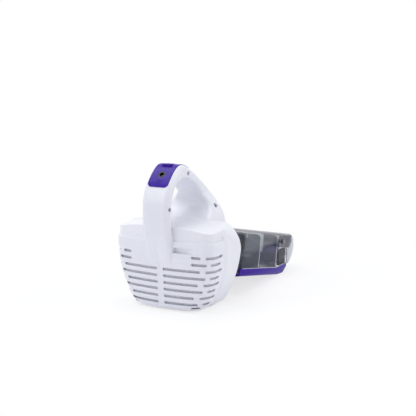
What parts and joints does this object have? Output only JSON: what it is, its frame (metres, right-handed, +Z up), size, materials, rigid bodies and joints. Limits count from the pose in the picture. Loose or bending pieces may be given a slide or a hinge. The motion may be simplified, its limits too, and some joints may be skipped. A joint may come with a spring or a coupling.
{
  "type": "hand vacuum cleaner",
  "caption": "Cordless hand vacuum with a vented body, loop handle, see-through dust cup and a powered brush under a flip-up hood.",
  "frame": {"origin": "middle of the foot pad under the body, on the floor", "axes": "+X forward to the brush, +Y left, +Z up"},
  "size_m": [0.3307, 0.1538, 0.1967],
  "materials": {
    "white_plastic": "white gloss plastic",
    "purple_plastic": "deep violet gloss plastic",
    "smoked_plastic": "smoked clear plastic",
    "visor_plastic": "pale smoked plastic",
    "black_plastic": "black plastic",
    "grey_plastic": "grey plastic",
    "rubber": "black rubber",
    "foam": "dark open foam",
    "pleats": "pleated filter cloth",
    "bristle": "violet nylon bristles",
    "steel": "steel",
    "copper_core": "wound rotor",
    "cell_wrap": "battery sleeve",
    "board": "circuit board"
  },
  "bodies": {
    "main": {"housing_right": "white_plastic", "housing_left": "white_plastic", "handle_trim": "purple_plastic", "charge_socket": "black_plastic", "housing_screws": "steel", "base_foot": "rubber", "switch_block": "black_plastic", "battery_cells": "cell_wrap", "battery_tray": "black_plastic", "circuit_board": "board", "bulkhead": "grey_plastic", "cup_seal": "rubber", "fan_housing": "grey_plastic", "motor_ring": "rubber", "motor_can": "steel", "motor_end_bell": "black_plastic", "motor_bearings": "steel", "exhaust_foam": "foam", "filter_frame": "black_plastic", "filter_ring": "purple_plastic", "filter_pleats": "pleats"},
    "slider": {"power_slider": "purple_plastic"},
    "rotor": {"motor_shaft": "steel", "rotor_core": "copper_core", "fan_impeller": "grey_plastic"},
    "cup": {"dust_cup": "smoked_plastic", "cup_base": "purple_plastic", "inlet_duct": "smoked_plastic", "flap_pin": "steel", "brush_motor": "steel", "brush_motor_cradle": "grey_plastic", "drive_belt": "rubber", "brush_bearing_right": "grey_plastic", "brush_bearing_left": "grey_plastic", "visor_pins": "grey_plastic", "latch_spring": "steel"},
    "latch": {"latch_button": "purple_plastic"},
    "flap": {"inlet_flap": "rubber"},
    "brush": {"brush_core": "purple_plastic", "brush_bristles": "bristle", "brush_pulley": "black_plastic", "brush_end_cap": "grey_plastic", "brush_axle": "steel"},
    "drive": {"brush_motor_shaft": "steel", "motor_pulley": "black_plastic"},
    "visor": {"visor_hood": "visor_plastic", "visor_cheek_right": "visor_plastic", "visor_cheek_left": "visor_plastic", "visor_arm_right": "visor_plastic", "visor_arm_left": "visor_plastic"}
  },
  "joints": [
    {"name": "power_slide", "type": "slide", "parent": "main", "child": "slider", "axis": [0.9986, 0, -0.0523], "range_m": [0, 0.006]},
    {"name": "fan_spin", "type": "hinge", "parent": "main", "child": "rotor", "pos_m": [0.04021, 0, 0.0661], "axis": [0.9806, 0, -0.1959], "continuous": true},
    {"name": "cup_release", "type": "slide", "parent": "main", "child": "cup", "axis": [0.9806, 0, -0.1959], "range_m": [0, 0.12]},
    {"name": "latch_press", "type": "slide", "parent": "cup", "child": "latch", "axis": [-0.1959, 0, -0.9806], "range_m": [0, 0.0025], "stiffness_N_per_m": 400, "springref_m": -0.002, "deforming": ["latch_spring"]},
    {"name": "flap_swing", "type": "hinge", "parent": "cup", "child": "flap", "pos_m": [0.14358, 0, 0.07155], "axis": [0, 1, 0], "range_deg": [0, 30]},
    {"name": "brush_spin", "type": "hinge", "parent": "cup", "child": "brush", "pos_m": [0.236, 0, 0.023], "axis": [0, 1, 0], "continuous": true},
    {"name": "brush_motor_spin", "type": "hinge", "parent": "cup", "child": "drive", "pos_m": [0.178, 0.03, 0.025], "axis": [0, 1, 0], "continuous": true},
    {"name": "visor_flip", "type": "hinge", "parent": "cup", "child": "visor", "pos_m": [0.216, 0, 0.052], "axis": [0, -1, 0], "range_deg": [0, 70]}
  ],
  "couplings": [
    {"joint": "brush_motor_spin", "follows": "brush_spin", "ratio": 1.5}
  ]
}
